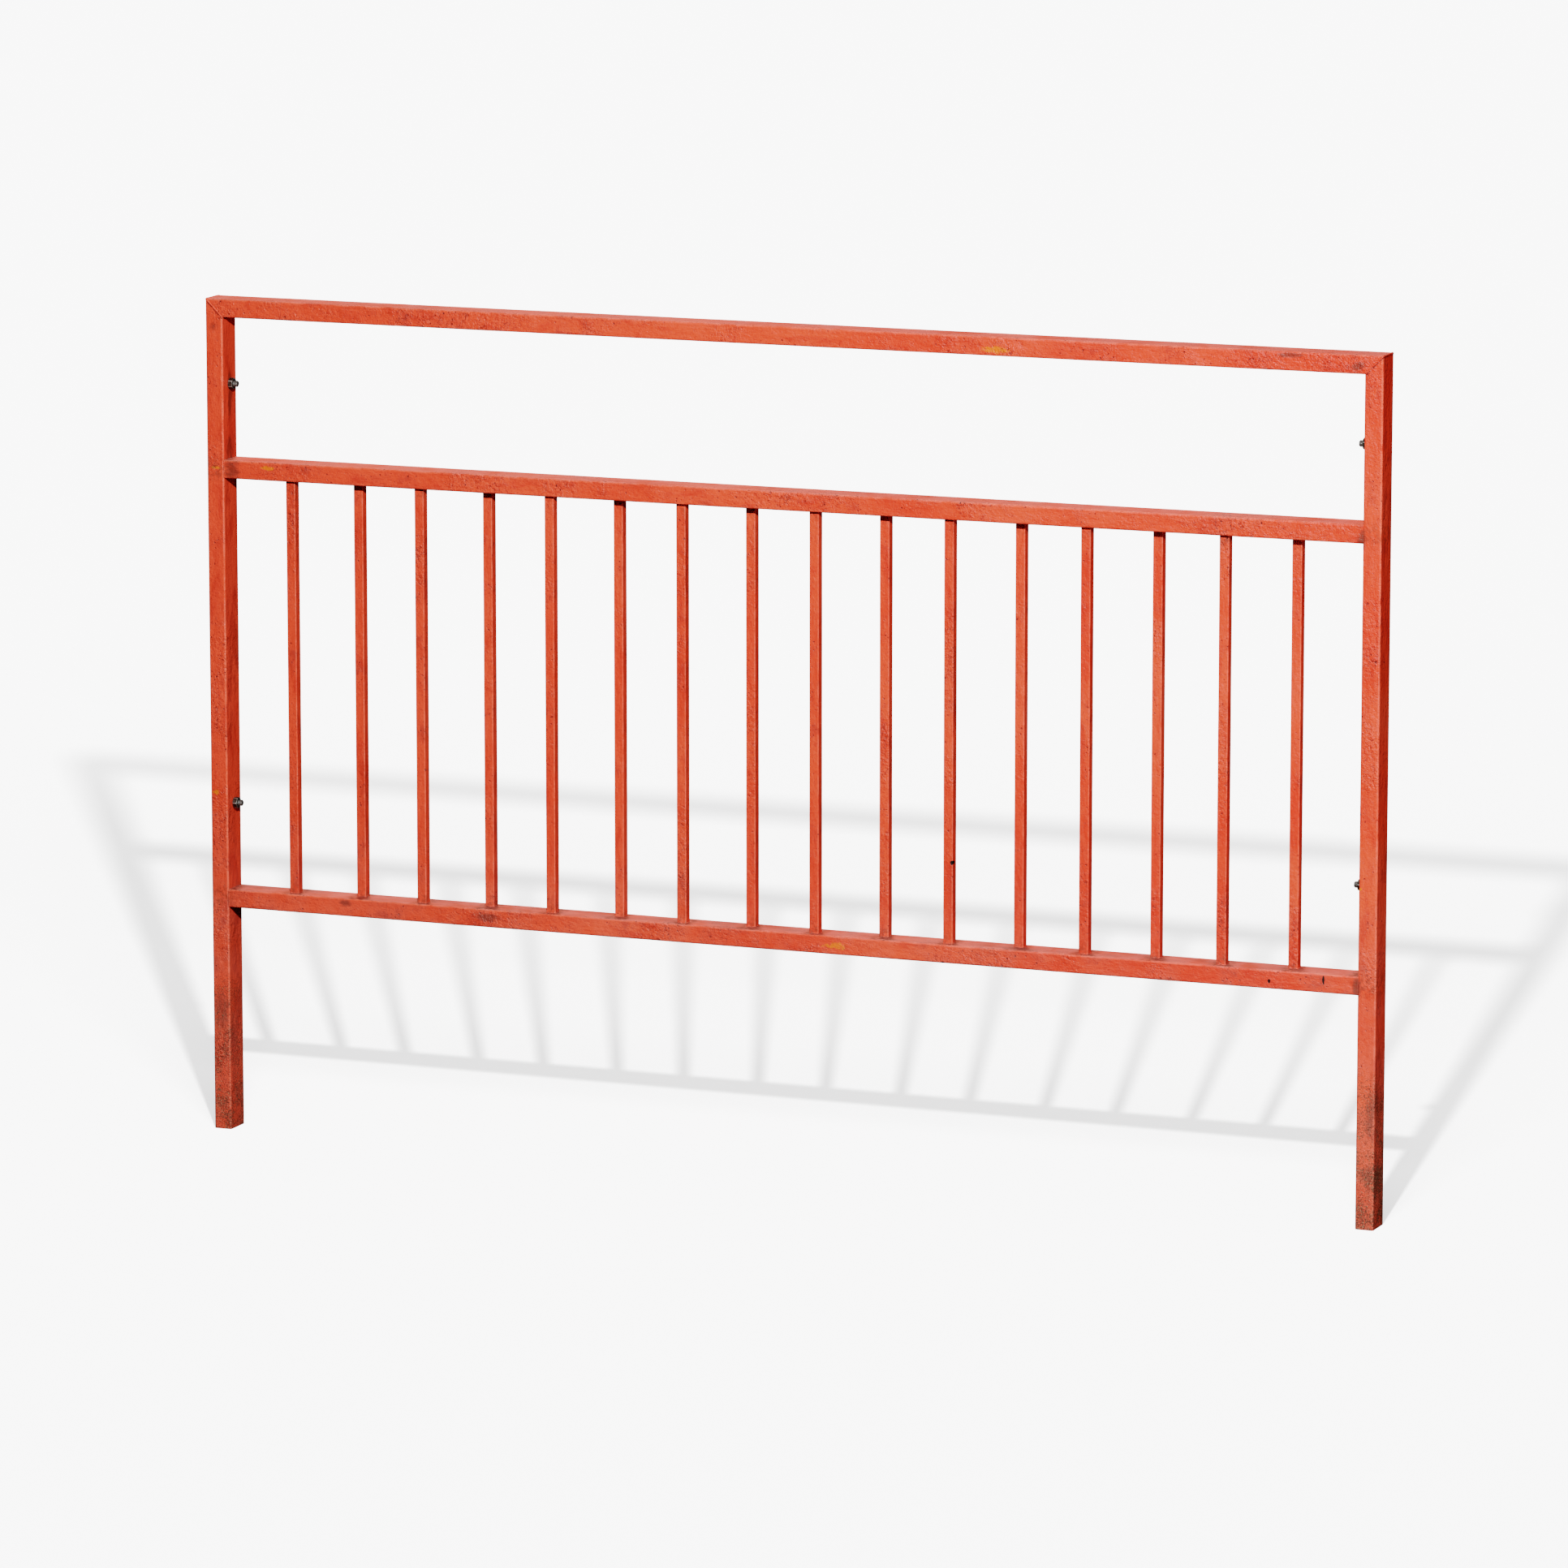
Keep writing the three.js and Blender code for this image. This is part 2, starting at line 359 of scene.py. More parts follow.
def red_paint(name, grain_way, joint_levels, across):
    """Pitted red paint over steel, streaked along grain_way. It darkens near the given heights: dirt where
    rails meet posts, painted shade and dirt at the ends of the bars.
    """
    paint = Finish(name)
    along = paint.moved(grain_way)
    broad = paint.cloud(0.30, 3.0)
    mottle = paint.cloud(0.045, 4.0, 0.6)
    streaks = paint.cloud(0.030, 4.0, 0.65, 0.5, along)
    spots = paint.cloud(0.011, 3.0, 0.6, 0.3, along)
    peel = paint.cloud(0.0055, 2.0, 0.5)
    grain = paint.cloud(0.0022, 2.0, 0.6)

    # Where the surface is coarse: a few named places, and wherever a slow noise says so.
    coarse_cloud = paint.fade(paint.cloud(0.13, 3.0, 0.6), 0.47, 0.66)
    coarse_spots = most([paint.patch(centre, reach) for centre, reach in ROUGH_PLACES])
    coarse = most([coarse_cloud * 0.8, coarse_spots])
    patchy = paint.fade(paint.cloud(0.020, 3.0, 0.6), 0.40, 0.60)

    # Short furrows: the low parts of a twisted noise, broken up by another.
    strokes = paint.cloud(0.0048, 2.0, 0.6, 0.9)
    gaps = paint.fade(paint.cloud(0.009, 2.0), 0.42, 0.56)
    rugged = coarse * (0.35 + 0.65 * patchy)
    furrows = paint.fade(strokes, 0.36, 0.50, 1.0, 0.0) * gaps * (rugged + 0.12)

    # Ragged pits in clusters, of mixed sizes.
    shaken = paint.shaken(0.004, 0.0022)
    pit_distance, pit_pick = paint.specks(0.0072, shaken)
    pit_zone = paint.fade(paint.cloud(0.045, 3.0, 0.6), 0.46, 0.57) * 0.9 + coarse * 0.35
    pits = paint.fade(pit_distance - pit_pick * 0.16, -0.02, 0.11, 1.0, 0.0) * pit_zone
    pin_distance, pin_pick = paint.specks(0.0042, shaken)
    pins = paint.fade(pin_distance, 0.08, 0.24, 1.0, 0.0) * paint.fade(pin_pick, 0.5, 0.6) * patchy

    tilt = paint.moved((1.0, 1.0, 0.22), (18, 0, 24))
    hair = abs(paint.cloud(0.035, 3.0, 0.7, 1.2, tilt) - 0.5)
    hair_zone = paint.fade(paint.cloud(0.09, 1.0), 0.58, 0.66)
    cracks = paint.fade(hair, 0.0, 0.006, 1.0, 0.0) * hair_zone

    # Colour: a shift from the left end to the right, broad pale patches and streaks, then stains, edges worn
    # and with a painted highlight, dust with a painted sheen, and dirt on top.
    # The paint goes paler towards the left end.
    colour = paint.blend(paint.fade(paint.x, -PANEL_END, PANEL_END), LEFT_END_RED, RED)
    colour = paint.blend(paint.fade(broad, 0.38, 0.66), colour, PALE_RED)
    colour = paint.blend(paint.fade(streaks, 0.50, 0.70) * 0.55, colour, DEEP_RED)
    stain = paint.fade(mottle, 0.54, 0.70) * paint.fade(spots, 0.40, 0.62)
    colour = paint.blend(stain * 0.60, colour, STAIN_AND_SHADE_RED)
    colour = paint.blend(paint.fade(spots, 0.55, 0.72) * 0.35, colour, PALE_RED)
    colour = paint.blend(paint.fade(grain, 0.50, 0.66) * (0.30 + 0.35 * coarse), colour, STAIN_AND_SHADE_RED)
    facing = paint.parts(paint.node("ShaderNodeNewGeometry", output="Normal"))
    sideways = paint.fade(abs(facing[0]), 0.6, 0.9)
    # Streaky darkening on faces that point along X: partly runs, partly painted shade on the side faces.
    side_runs_and_shade = paint.fade(paint.cloud(0.040, 4.0, 0.7, 0.6, along), 0.50, 0.66) * sideways
    colour = paint.blend(side_runs_and_shade * 0.55, colour, STAIN_AND_SHADE_RED)

    # Paler rounded edges: partly worn paint, partly a painted highlight where the corners catch the light.
    edge = paint.worn("edge")
    edge_wear_and_highlight = edge * paint.fade(paint.cloud(0.02, 3.0), 0.35, 0.6)
    colour = paint.blend(edge_wear_and_highlight * 0.5, colour, PALE_EDGE_WEAR_AND_HIGHLIGHT)

    ragged = paint.cloud(0.006, 3.0, 0.6, 0.5)
    flakes = paint.cloud(0.013, 4.0, 0.7, 0.6, along)
    ochre = most([paint.patch(centre, reach) for centre, reach in OCHRE_PATCHES])
    ochre = paint.fade(ochre * 0.45 + flakes * 0.5 + ragged * 0.6, 0.78, 0.92)
    colour = paint.blend(ochre * 0.50, colour, OCHRE)
    grime = most([paint.patch(centre, reach) for centre, reach in GRIMY_PLACES])
    grime = paint.fade(grime * 0.45 + flakes, 0.60, 0.92)
    colour = paint.blend(grime * 0.72, colour, GRIME)

    colour = paint.blend(furrows * 0.62, colour, DARK_PIT_AND_SHADE)
    colour = paint.blend(pits * 0.85, colour, DARK_PIT_AND_SHADE)
    colour = paint.blend(pins * 0.70, colour, DARK_PIT_AND_SHADE)
    colour = paint.blend(cracks * 0.6, colour, DARK_PIT_AND_SHADE)

    # Upward faces paler: dust, and a painted sheen on the top faces.
    upward = paint.fade(facing[2], 0.5, 0.95)
    dust_and_sheen = upward * paint.fade(mottle, 0.30, 0.60, 0.45, 0.85)
    colour = paint.blend(dust_and_sheen * 0.30, colour, DUST_AND_SHEEN)
    low_dust = paint.fade(paint.z, 0.30, 0.62, 1.0, 0.0) * paint.fade(mottle, 0.30, 0.65, 0.3, 1.0)
    colour = paint.blend(low_dust * 0.07, colour, DUST_AND_SHEEN)

    # Darker near the joints: dirt where rails meet posts, painted shade and dirt at the ends of the bars.
    # Mud splashed on the legs follows.
    joint_cloud = paint.fade(paint.cloud(0.008, 3.0, 0.65), 0.42, 0.62)
    nearness = []
    for level in joint_levels:
        from_joint = abs(paint.z - level)
        nearness.append(paint.fade(from_joint, 0.004, 0.030, 1.0, 0.0))
    joint_dirt_and_shade = most(nearness) * joint_cloud
    if across:
        joint_dirt_and_shade = joint_dirt_and_shade * paint.fade(abs(paint.x), 0.945, 0.972)
        # Darker round the foot of each bar and in streaks along the top of the lower rail.
        spacing = {0: paint.x - FIRST_BAR, 1: BAR_PITCH / 2}
        from_bar = paint.node("ShaderNodeMath", {"operation": "PINGPONG"}, spacing)
        low_rail = paint.fade(paint.z, 0.45, 0.50, 1.0, 0.0)
        bar_foot_darkening = paint.fade(from_bar, 0.007, 0.026, 1.0, 0.0) * low_rail * upward
        colour = paint.blend(bar_foot_darkening * (0.25 + 0.45 * joint_cloud), colour, GRIME)
        low_rail_top_darkening = low_rail * upward * paint.fade(streaks, 0.35, 0.60, 0.10, 0.30)
        colour = paint.blend(low_rail_top_darkening, colour, GRIME)
    colour = paint.blend(joint_dirt_and_shade * 0.45, colour, MUD_AND_SHADE)

    # Mud splashed up the legs: a thin film, then dark and pale specks, thickest near the ground. More of
    # both on the posts' outer faces, partly as painted shade.
    splash = paint.fade(paint.z + (mottle - 0.5) * 0.30, 0.02, 0.36, 1.0, 0.0)
    outer_face_mud_and_shade = sideways * paint.fade(abs(paint.x), 0.98, 0.99)
    film = splash * paint.fade(paint.cloud(0.035, 4.0, 0.65), 0.38, 0.60, 0.25, 0.9)
    colour = paint.blend(film * (0.45 + 0.30 * outer_face_mud_and_shade), colour, MUD_FILM_AND_SHADE)
    speck_cloud = paint.cloud(0.0023, 3.0, 0.65, 0.4)
    thick = paint.fade(paint.cloud(0.030, 4.0, 0.7), 0.42, 0.58)
    mud_specks_and_shade = paint.fade(speck_cloud + splash * (0.02 + 0.12 * thick + 0.10 * outer_face_mud_and_shade), 0.51, 0.72)
    mud_specks_and_shade = mud_specks_and_shade * paint.fade(splash, 0.0, 0.40)
    colour = paint.blend(mud_specks_and_shade * 0.92, colour, MUD_AND_SHADE)
    crust_cloud = paint.cloud(0.0024, 2.0, 0.6, 0.5, paint.moved((1, 1, 1), shift=(3, 1, 2)))
    crust = paint.fade(crust_cloud + splash * 0.07 * thick, 0.61, 0.71) * paint.fade(splash, 0.2, 0.7)
    colour = paint.blend(crust * 0.45, colour, PALE_MUD)

    # Painted shade: a dark line beside the bead on each mitre, on the post's side below it.
    off_mitre = abs(paint.x) - paint.z + (PANEL_TOP - PANEL_END)
    dashes = paint.fade(paint.cloud(0.0065, 2.0), 0.36, 0.50)
    bead_shade = paint.fade(abs(off_mitre - BEAD_SHADE_OFFSET), 0.0005, 0.0019, 1.0, 0.0) * dashes
    bead_shade = bead_shade * paint.fade(abs(paint.x), 0.966, 0.970)
    colour = paint.blend(bead_shade * 0.8, colour, DARK_PIT_AND_SHADE)

    chips = most([paint.patch(centre, reach) for centre, reach in CHIPS])
    chips = paint.fade(chips + (ragged - 0.5) * 0.8, 0.45, 0.60)
    colour = paint.blend(chips, colour, BARE_CHIP)

    height = peel * (0.5 + 1.0 * coarse) + spots * 1.4 + grain * (0.20 + 0.40 * coarse) + streaks * 1.2
    height = height + strokes * (0.35 + 1.2 * rugged) + speck_cloud * splash * 1.3
    height = height - furrows * 0.35 - pits * 0.65 - pins * 0.35 - cracks * 0.15 - chips * 0.35
    gloss = 0.50 + (mottle - 0.5) * 0.25 + dust_and_sheen * 0.25 + mud_specks_and_shade * 0.3
    paint.coat(colour, gloss.no_more_than(0.95), paint.relief(height))
    return paint.material


def dull_steel(name, colour, stain, roughness, pocks):
    """Weathered bare steel: a metal that has gone dull, stained and slightly pocked."""
    steel = Finish(name)
    tarnish = steel.cloud(0.0035, 4.0, 0.65)
    fine = steel.cloud(0.0009, 3.0, 0.6)
    stained = steel.fade(tarnish, 0.42, 0.62)
    mixed = steel.blend(stained, colour, stain)
    mixed = steel.blend(steel.fade(fine, 0.5, 0.7) * 0.4, mixed, stain)
    edge = steel.worn("edge")
    mixed = steel.blend(edge * 0.7, mixed, (0.62, 0.60, 0.57, 1))
    height = tarnish * pocks + fine * pocks * 0.4
    gloss = roughness + stained * 0.2 - edge * 0.1
    steel.coat(mixed, gloss, steel.relief(height), metal=0.85)
    return steel.material


# ---- mesh building --------------------------------------------------------------------------

def rounded_section(half_a, half_b, corner):
    """Points round a rectangle with bent corners, each with 1 on a bend and 0 on the flats."""
    points = []
    for quarter, (sign_a, sign_b) in enumerate(((1, -1), (1, 1), (-1, 1), (-1, -1))):
        centre_a = sign_a * (half_a - corner)
        centre_b = sign_b * (half_b - corner)
        first = math.radians(90 * quarter - 90)
        arc = []
        for step in range(BEND_STEPS + 1):
            angle = first + math.radians(90) * step / BEND_STEPS
            bend = math.sin(math.pi * (step + 0.5) / (BEND_STEPS + 1))
            arc.append((centre_a + corner * math.cos(angle), centre_b + corner * math.sin(angle), bend))
        into = (math.sin(first), -math.cos(first))
        out = (-math.sin(first + math.pi / 2), math.cos(first + math.pi / 2))
        points.append((arc[0][0] + into[0] * SHOULDER, arc[0][1] + into[1] * SHOULDER, 0.0))
        points.extend(arc)
        points.append((arc[-1][0] + out[0] * SHOULDER, arc[-1][1] + out[1] * SHOULDER, 0.0))
    return points


def skin(rings, joined):
    """Faces over a stack of rings: joined end to end, or closed with a cap at both ends."""
    count = len(rings[0])
    corners = [point for ring in rings for point in ring]
    faces = []
    for row in range(len(rings) if joined else len(rings) - 1):
        here = row * count
        there = (row + 1) % len(rings) * count
        for column in range(count):
            beside = (column + 1) % count
            faces.append((here + column, here + beside, there + beside, there + column))
    if not joined:
        faces.append(tuple(reversed(range(count))))
        faces.append(tuple(range(len(corners) - count, len(corners))))
    return corners, faces


def piece(name, corners, faces, finish, slot, nodes=(), edges=None):
    """Makes one piece of the panel and fastens it to the frame."""
    mesh = bpy.data.meshes.new(name)
    mesh.from_pydata([tuple(corner) for corner in corners], [], faces)
    mesh.polygons.foreach_set("use_smooth", [True] * len(mesh.polygons))
    mesh.set_sharp_from_angle(angle=math.radians(32))
    wear = mesh.attributes.new("edge", "FLOAT", "POINT")
    wear.data.foreach_set("value", edges or [0.0] * len(corners))
    mesh.materials.append(finish)
    made = bpy.data.objects.new(name, mesh)
    bpy.context.scene.collection.objects.link(made)
    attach(made, "root")
    if nodes:
        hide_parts(*nodes)
    return made


def wave(point, outward, room):
    """Slight unevenness of rolled tube, which dies away towards its joints."""
    calm = min(1.0, max(0.0, room / JOINT_REACH))
    return outward * (noise.noise(point / WAVE_LENGTH) * WAVE_HEIGHT * calm)


def tube(name, place, halves, corner, wall, start, end, finish, slot):
    """A hollow tube. place puts (along, a, b) in the frame; start and end give its ends at (a, b)."""
    half_a, half_b = halves
    outside = rounded_section(half_a, half_b, corner)
    bevel = rounded_section(half_a - END_BEVEL, half_b - END_BEVEL, corner - END_BEVEL)
    inside = rounded_section(half_a - wall, half_b - wall, BORE_CORNER)
    length = end(0, 0) - start(0, 0)
    steps = max(4, round(length / RING_STEP))
    rings = []
    edges = []

    def ring(section, share, nudge, wavy=False, worn=1.0):
        points = []
        for a, b, bend in section:
            first = start(a, b)
            last = end(a, b)
            along = first + (last - first) * share + nudge
            point = place(along, a, b)
            if wavy:
                outward = place(along, a + a * 0.01, b + b * 0.01) - point
                outward.normalize()
                room = min(along - first, last - along)
                point = point + wave(point, outward, room)
            points.append(point)
            edges.append(bend * worn)
        rings.append(points)

    ring(bevel, 0, 0)
    for step in range(steps + 1):
        nudge = END_BEVEL if step == 0 else -END_BEVEL if step == steps else 0
        ring(outside, step / steps, nudge, wavy=True)
    ring(bevel, 1, 0)
    ring(inside, 1, 0, worn=0.0)
    ring(inside, 0, 0, worn=0.0)
    corners, faces = skin(rings, joined=True)
    return piece(name, corners, faces, finish, slot, [name.removesuffix("_tube")], edges)


# ---- frame and bars -------------------------------------------------------------------------

def centre_of(node):
    low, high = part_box(node)
    return (low + high) / 2


def half_of(node):
    low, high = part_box(node)
    return (high - low) / 2


def flat_end(value):
    return lambda a, b: value


INNER_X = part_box("right_post")[0].x
FACE_HALF = half_of("right_post").x
DEPTH_HALF = half_of("right_post").y


def make_post(side_name, finish):
    """A post stands on its square-cut foot and is mitred at its top."""
    side = SIDES[side_name]
    middle = centre_of(f"{side_name}_post")
    outer = side * half_of(f"{side_name}_post").x

    def place(along, a, b):
        return Vector((middle.x + a, middle.y + b, along))

    def mitre(a, b):
        return PANEL_TOP - abs(outer - a)

    name = f"{side_name}_post_tube"
    return tube(name, place, (FACE_HALF, DEPTH_HALF), TUBE_CORNER, TUBE_WALL,
                flat_end(0.0), mitre, finish, "frame_paint")


def make_rail(node, finish):
    """A rail runs along X. The top one is mitred; the others butt against the posts."""
    middle = centre_of(node)
    mitred = node == "top_rail"

    def place(along, a, b):
        return Vector((along, middle.y + a, middle.z + b))

    def end(a, b):
        return PANEL_END - (FACE_HALF - b) if mitred else INNER_X

    def start(a, b):
        return -end(a, b)

    return tube(f"{node}_tube", place, (DEPTH_HALF, FACE_HALF), TUBE_CORNER, TUBE_WALL,
                start, end, finish, "frame_paint")


def make_bar(number, finish):
    """An upright bar between the lower and the mid rail."""
    node = f"bar_{number:02d}"
    middle = centre_of(node)
    half = half_of(node)
    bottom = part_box("lower_rail")[1].z
    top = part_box("mid_rail")[0].z

    def place(along, a, b):
        return Vector((middle.x + a, middle.y + b, along))

    return tube(f"{node}_tube", place, (half.x, half.y), BAR_CORNER, BAR_WALL,
                flat_end(bottom), flat_end(top), finish, "bar_paint")


# ---- welds ----------------------------------------------------------------------------------

def bead(path, radius, seed):
    """Rings of a weld bead that follows a closed path of (point, outward, along)."""
    rings = []
    walked = 0.0
    for index, (point, outward, along) in enumerate(path):
        walked += (point - path[index - 1][0]).length if index else 0.0
        across = along.cross(outward)
        swell = noise.noise(Vector((walked / 0.006, seed, 0)))
        size = radius * (1 + 0.10 * swell + 0.05 * math.sin(2 * math.pi * walked / WELD_RIPPLE))
        ring = []
        for step in range(WELD_ARC_POINTS):
            angle = 2 * math.pi * step / WELD_ARC_POINTS
            ring.append(point + across * (size * math.cos(angle)) + outward * (size * math.sin(angle)))
        rings.append(ring)
    return rings


def section_path(half_a, half_b, corner, step):
    """Evenly spaced points round a bent section, as (a, b, outward a, outward b)."""
    line = []
    for quarter, (sign_a, sign_b) in enumerate(((1, -1), (1, 1), (-1, 1), (-1, -1))):
        first = math.radians(90 * quarter - 90)
        centre_a = sign_a * (half_a - corner)
        centre_b = sign_b * (half_b - corner)
        for turn in range(5):
            angle = first + math.radians(90) * turn / 4
            out_a, out_b = math.cos(angle), math.sin(angle)
            line.append((centre_a + corner * out_a, centre_b + corner * out_b, out_a, out_b))
    even = []
    for index, spot in enumerate(line):
        following = line[(index + 1) % len(line)]
        gap = math.hypot(following[0] - spot[0], following[1] - spot[1])
        pieces = max(1, round(gap / step))
        for part in range(pieces):
            share = part / pieces
            even.append(tuple(u + (v - u) * share for u, v in zip(spot, following)))
    return even


def weld_loop(place, half_a, half_b, corner, radius, sunk, seed):
    """A closed weld bead round a tube's section. place puts (a, b) in the frame."""
    spots = section_path(half_a, half_b, corner, WELD_STEP)
    path = []
    for index, (a, b, out_a, out_b) in enumerate(spots):
        size = math.hypot(out_a, out_b)
        here = place(a - out_a / size * sunk, b - out_b / size * sunk)
        outside = place(a + out_a / size * 0.01, b + out_b / size * 0.01)
        ahead = spots[(index + 1) % len(spots)]
        behind = spots[index - 1]
        along = place(ahead[0], ahead[1]) - place(behind[0], behind[1])
        along.normalize()
        outward = outside - here
        outward = outward - along * outward.dot(along)
        outward.normalize()
        path.append((here, outward, along))
    return skin(bead(path, radius, seed), joined=True)


def gather(parts):
    """Several closed skins as one mesh."""
    corners = []
    faces = []
    for some_corners, some_faces in parts:
        base = len(corners)
        corners.extend(some_corners)
        faces.extend(tuple(base + index for index in face) for face in some_faces)
    return corners, faces


def make_mitre_weld(side_name, finish):
    """The bead along the mitre between a post and the top rail."""
    side = SIDES[side_name]
    middle = centre_of(f"{side_name}_post")

    def place(a, b):
        return Vector((middle.x + a, middle.y + b, PANEL_TOP - abs(side * FACE_HALF - a)))

    skinned = weld_loop(place, FACE_HALF, DEPTH_HALF, TUBE_CORNER, 2.0 * MM, 1.35 * MM, side + 3)
    return piece(f"{side_name}_mitre_weld", *skinned, finish, "frame_paint")


def make_rail_welds(node, finish):
    """The beads where a rail butts against both posts."""
    middle = centre_of(node)
    parts = []
    for side in SIDES.values():
        def place(a, b, side=side):
            return Vector((side * (INNER_X - 0.2 * MM), middle.y + a, middle.z + b * side))
        parts.append(weld_loop(place, DEPTH_HALF, FACE_HALF, TUBE_CORNER, 1.2 * MM, 0.9 * MM, side + 7))
    return piece(f"{node}_welds", *gather(parts), finish, "frame_paint")


def make_bar_welds(finish):
    """The small beads round both ends of every bar."""
    parts = []
    for number in range(1, BAR_COUNT + 1):
        middle = centre_of(f"bar_{number:02d}")
        half = half_of(f"bar_{number:02d}")
        for level in (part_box("lower_rail")[1].z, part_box("mid_rail")[0].z):
            def place(a, b, level=level, middle=middle):
                return Vector((middle.x + a, middle.y + b, level))
            parts.append(weld_loop(place, half.x, half.y, BAR_CORNER, 1.0 * MM, 0.4 * MM, number + level))
    return piece("bar_welds", *gather(parts), finish, "bar_paint")


# ---- studs, nuts and inserts ----------------------------------------------------------------

def fastening_place(place_name):
    """Puts (along, a, b) in the frame: along points out of the post from its inner face."""
    side = SIDES[place_name.split("_")[0]]
    middle = centre_of(f"{place_name}_stud")

    def place(along, a, b):
        return Vector((side * (INNER_X - along), middle.y + a, middle.z - side * b))

    return place


def reach_of(node, place_name):
    """Where a fastener starts and ends, measured out of the post from its inner face."""
    low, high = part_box(node)
    far = abs(low.x), abs(high.x)
    return INNER_X - max(far), INNER_X - min(far)


def turned_ring(place, along, radius, columns):
    ring = []
    for column in range(columns):
        angle = 2 * math.pi * column / columns
        ring.append(place(along, radius * math.cos(angle), radius * math.sin(angle)))
    return ring


def make_stud(place_name, finish):
    """A threaded stud, rounded over at its end."""
    place = fastening_place(place_name)
    start, end = reach_of(f"{place_name}_stud", place_name)
    radius = half_of(f"{place_name}_stud").z
    core = radius - THREAD_DEPTH
    rows = round((end - start) / THREAD_PITCH * ROWS_PER_THREAD)
    rings = []
    edges = []
    for row in range(rows + 1):
        along = start + (end - start) * row / rows
        to_end = min(along - start, end - along)
        cap = core - 0.3 * MM + to_end * 1.1
        ring = []
        for column in range(THREAD_COLUMNS):
            angle = 2 * math.pi * column / THREAD_COLUMNS
            phase = (along / THREAD_PITCH - column / THREAD_COLUMNS) % 1.0
            flank = min(1.0, max(0.0, 1.25 - abs(phase - 0.5) * 3.0))
            grown = min(core + THREAD_DEPTH * flank, cap)
            ring.append(place(along, grown * math.cos(angle), grown * math.sin(angle)))
            edges.append(max(0.0, flank - 0.8) * 3 if to_end > 1 * MM else 0.0)
        rings.append(ring)
    return piece(f"{place_name}_threaded_stud", *skin(rings, joined=False), finish, "stud_steel",
                 [f"{place_name}_stud"], edges)


def make_nut(place_name, finish):
    """A hexagon nut with its corners rounded off at both faces."""
    place = fastening_place(place_name)
    start, end = reach_of(f"{place_name}_nut", place_name)
    bore = half_of(f"{place_name}_stud").z - 0.2 * MM
    washer_face = NUT_FLAT - 0.35 * MM
    turn = math.radians(NUT_TURN[place_name])

    def outline(angle):
        inside = (angle - turn) % math.radians(60) - math.radians(30)
        sharp = NUT_FLAT / math.cos(inside)
        return min(sharp, NUT_FLAT * NUT_CORNER)

    depth = end - start
    levels = [level * MM for level in NUT_LEVELS_MM]
    levels += [depth - level for level in reversed(levels)]
    rings = [turned_ring(place, start + BORE_BEVEL, bore, NUT_COLUMNS),
             turned_ring(place, start, bore + BORE_BEVEL, NUT_COLUMNS)]
    edges = [0.0] * (2 * NUT_COLUMNS)
    for level in levels:
        from_face = min(level, depth - level)
        cone = washer_face + from_face * math.sqrt(3)
        ring = []
        for column in range(NUT_COLUMNS):
            angle = 2 * math.pi * column / NUT_COLUMNS
            hexagon = outline(angle)
            radius = min(hexagon, cone)
            ring.append(place(start + level, radius * math.cos(angle), radius * math.sin(angle)))
            ridge = max(0.0, 1 - abs(hexagon - cone) / (0.5 * MM)) * 0.8
            corner = max(0.0, (hexagon / NUT_FLAT - 1.10) / 0.035)
            edges.append(min(1.0, max(ridge, corner)))
        rings.append(ring)
    rings.append(turned_ring(place, end, bore + BORE_BEVEL, NUT_COLUMNS))
    rings.append(turned_ring(place, end - BORE_BEVEL, bore, NUT_COLUMNS))
    edges += [0.0] * (2 * NUT_COLUMNS)
    return piece(f"{place_name}_hex_nut", *skin(rings, joined=True), finish, "nut_steel",
                 [f"{place_name}_nut"], edges)


def make_insert(place_name, finish):
    """The sleeve that grips the post's wall, with its crushed bulge behind the wall."""
    place = fastening_place(place_name)
    start, end = reach_of(f"{place_name}_insert", place_name)
    bulge = half_of(f"{place_name}_insert").z
    wall_back = -TUBE_WALL - 0.3 * MM
    bulge_start = wall_back - SLEEVE_TAIL + 0.5 * MM
    profile = [(end, SLEEVE_BORE), (start, SLEEVE_BORE), (start, SLEEVE_RADIUS),
               (wall_back - SLEEVE_TAIL, SLEEVE_RADIUS)]
    for step in range(BULGE_STEPS + 1):
        share = step / BULGE_STEPS
        swell = math.sin(math.pi * share) ** 0.7
        radius = SLEEVE_RADIUS + (bulge - SLEEVE_RADIUS) * swell
        profile.append((bulge_start + BULGE_LENGTH * share, radius))
    profile += [(wall_back, SLEEVE_RADIUS), (end, SLEEVE_RADIUS)]
    rings = [turned_ring(place, along, radius, THREAD_COLUMNS) for along, radius in reversed(profile)]
    return piece(f"{place_name}_crimped_insert", *skin(rings, joined=True), finish, "insert_steel",
                 [f"{place_name}_insert"])


# ---- the whole panel ------------------------------------------------------------------------

RAIL_LEVELS = [centre_of(node).z for node in ("mid_rail", "lower_rail")]
BAR_END_LEVELS = [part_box("lower_rail")[1].z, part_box("mid_rail")[0].z]
post_red = red_paint("post_red_paint", (1, 1, 0.35), RAIL_LEVELS, across=True)
rail_red = red_paint("rail_red_paint", (0.35, 1, 1), RAIL_LEVELS, across=True)
bar_red = red_paint("bar_red_paint", (1, 1, 0.35), BAR_END_LEVELS, across=False)
stud_grey = dull_steel("stud_grey_steel", (0.22, 0.21, 0.20, 1), (0.09, 0.08, 0.07, 1), 0.42, 0.05)
nut_brown = dull_steel("nut_brown_steel", (0.10, 0.085, 0.07, 1), (0.028, 0.022, 0.018, 1), 0.45, 0.08)
insert_zinc = dull_steel("insert_zinc", (0.55, 0.53, 0.47, 1), (0.35, 0.33, 0.28, 1), 0.35, 0.03)

